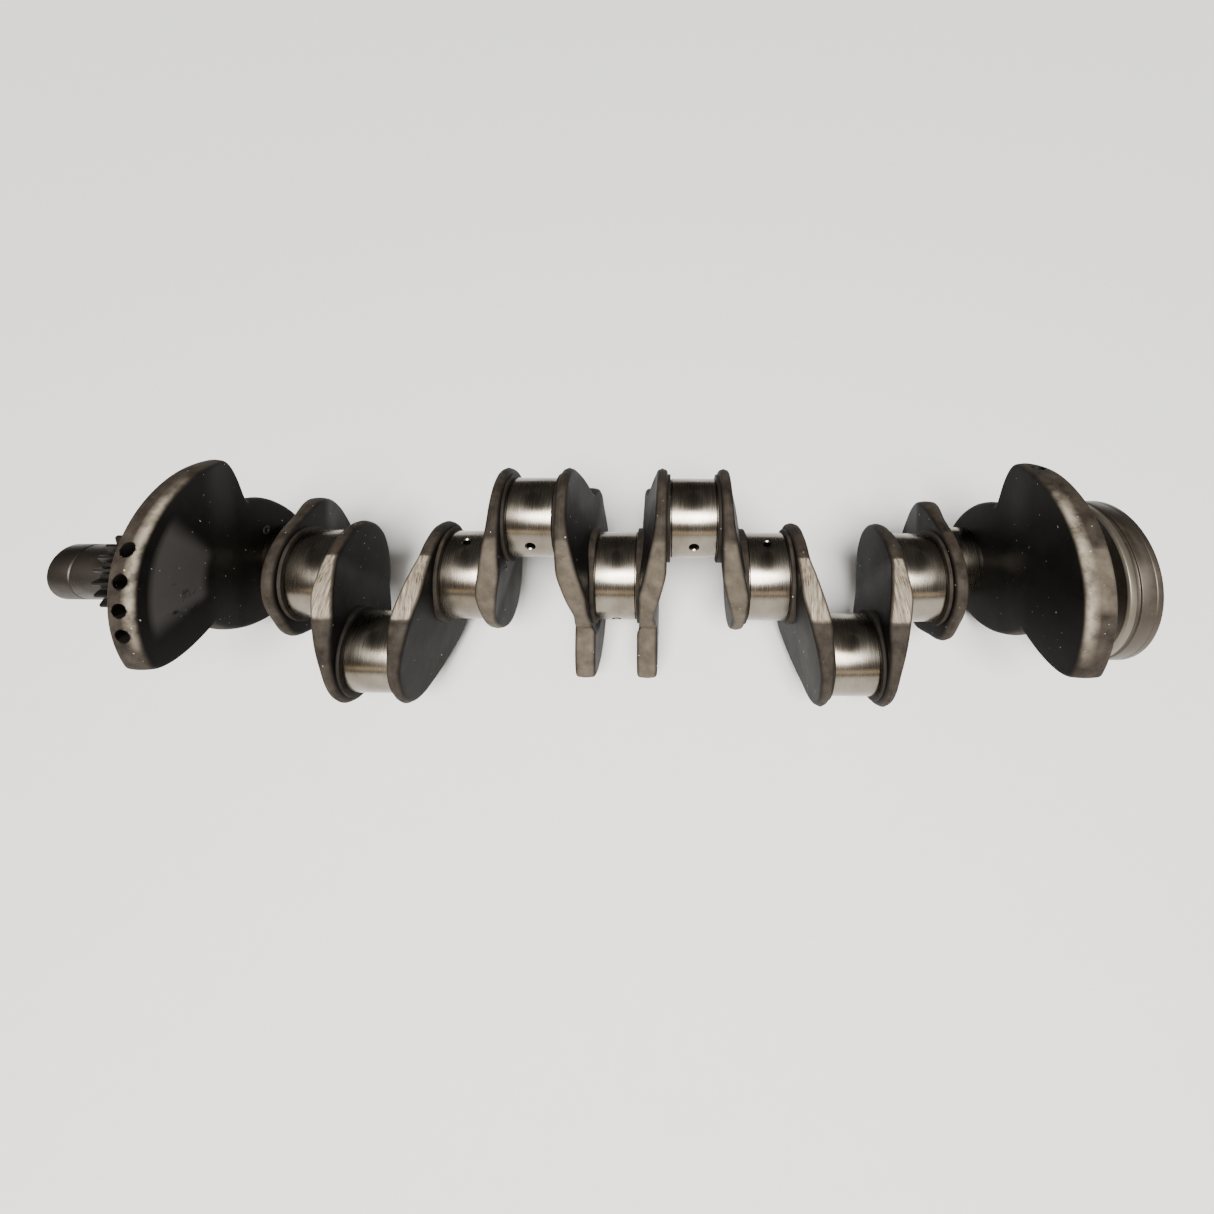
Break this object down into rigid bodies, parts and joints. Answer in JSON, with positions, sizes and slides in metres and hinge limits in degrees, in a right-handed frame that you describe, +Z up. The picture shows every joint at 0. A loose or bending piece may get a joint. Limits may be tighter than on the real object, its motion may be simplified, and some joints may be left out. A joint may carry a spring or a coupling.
{
  "type": "crankshaft",
  "caption": "Forged crankshaft for a long in-line diesel engine, with its timing gear, flywheel flange and pilot bearing, lying on its side.",
  "frame": {"origin": "on the axis of rotation, at the middle of the centre main journal", "axes": "+X along the axis of rotation from the nose to the flywheel flange, +Z up as it lies on a floor, +Y away from the side that is seen"},
  "size_m": [0.8445, 0.1782, 0.1768],
  "materials": {
    "ground_journal": "ground and polished, with an oil film",
    "forged_skin": "as forged, dark and oily, with lighter trimmed edges",
    "turned_end": "turned, dulled by oil",
    "gear_steel": "cut teeth, dulled by oil",
    "hardware": "plain, darkened",
    "race_steel": "ground bearing steel",
    "seal_rubber": "matt black"
  },
  "bodies": {
    "crankshaft": {"main_journal_1": "ground_journal", "main_journal_2": "ground_journal", "main_journal_3": "ground_journal", "main_journal_4": "ground_journal", "main_journal_5": "ground_journal", "main_journal_6": "ground_journal", "main_journal_7": "ground_journal", "crankpin_1": "ground_journal", "crankpin_2": "ground_journal", "crankpin_3": "ground_journal", "crankpin_4": "ground_journal", "crankpin_5": "ground_journal", "crankpin_6": "ground_journal", "crank_web_1": "forged_skin", "crank_web_2": "forged_skin", "crank_web_3": "forged_skin", "crank_web_4": "forged_skin", "crank_web_5": "forged_skin", "crank_web_6": "forged_skin", "crank_web_7": "forged_skin", "crank_web_8": "forged_skin", "crank_web_9": "forged_skin", "crank_web_10": "forged_skin", "crank_web_11": "forged_skin", "crank_web_12": "forged_skin", "oil_gallery_plug_1": "hardware", "oil_gallery_plug_2": "hardware", "oil_gallery_plug_3": "hardware", "oil_gallery_plug_4": "hardware", "oil_gallery_plug_5": "hardware", "oil_gallery_plug_6": "hardware", "nose_shaft": "turned_end", "flywheel_flange": "turned_end", "timing_gear": "gear_steel", "gear_key": "hardware", "flywheel_dowel": "hardware", "pilot_bearing_outer_ring": "race_steel", "pilot_bearing_front_seal": "seal_rubber", "pilot_bearing_rear_seal": "seal_rubber"},
    "inner_ring": {"pilot_bearing_inner_ring": "race_steel"},
    "ball_cage": {"pilot_bearing_ball_cage": "race_steel"}
  },
  "joints": [
    {"name": "pilot_bearing_turn", "type": "hinge", "parent": "crankshaft", "child": "inner_ring", "pos_m": [0.3815, 0, 0], "axis": [1, 0, 0], "continuous": true},
    {"name": "ball_cage_turn", "type": "hinge", "parent": "crankshaft", "child": "ball_cage", "pos_m": [0.3815, 0, 0], "axis": [1, 0, 0], "continuous": true}
  ],
  "couplings": [
    {"joint": "ball_cage_turn", "follows": "pilot_bearing_turn", "ratio": 0.4}
  ]
}
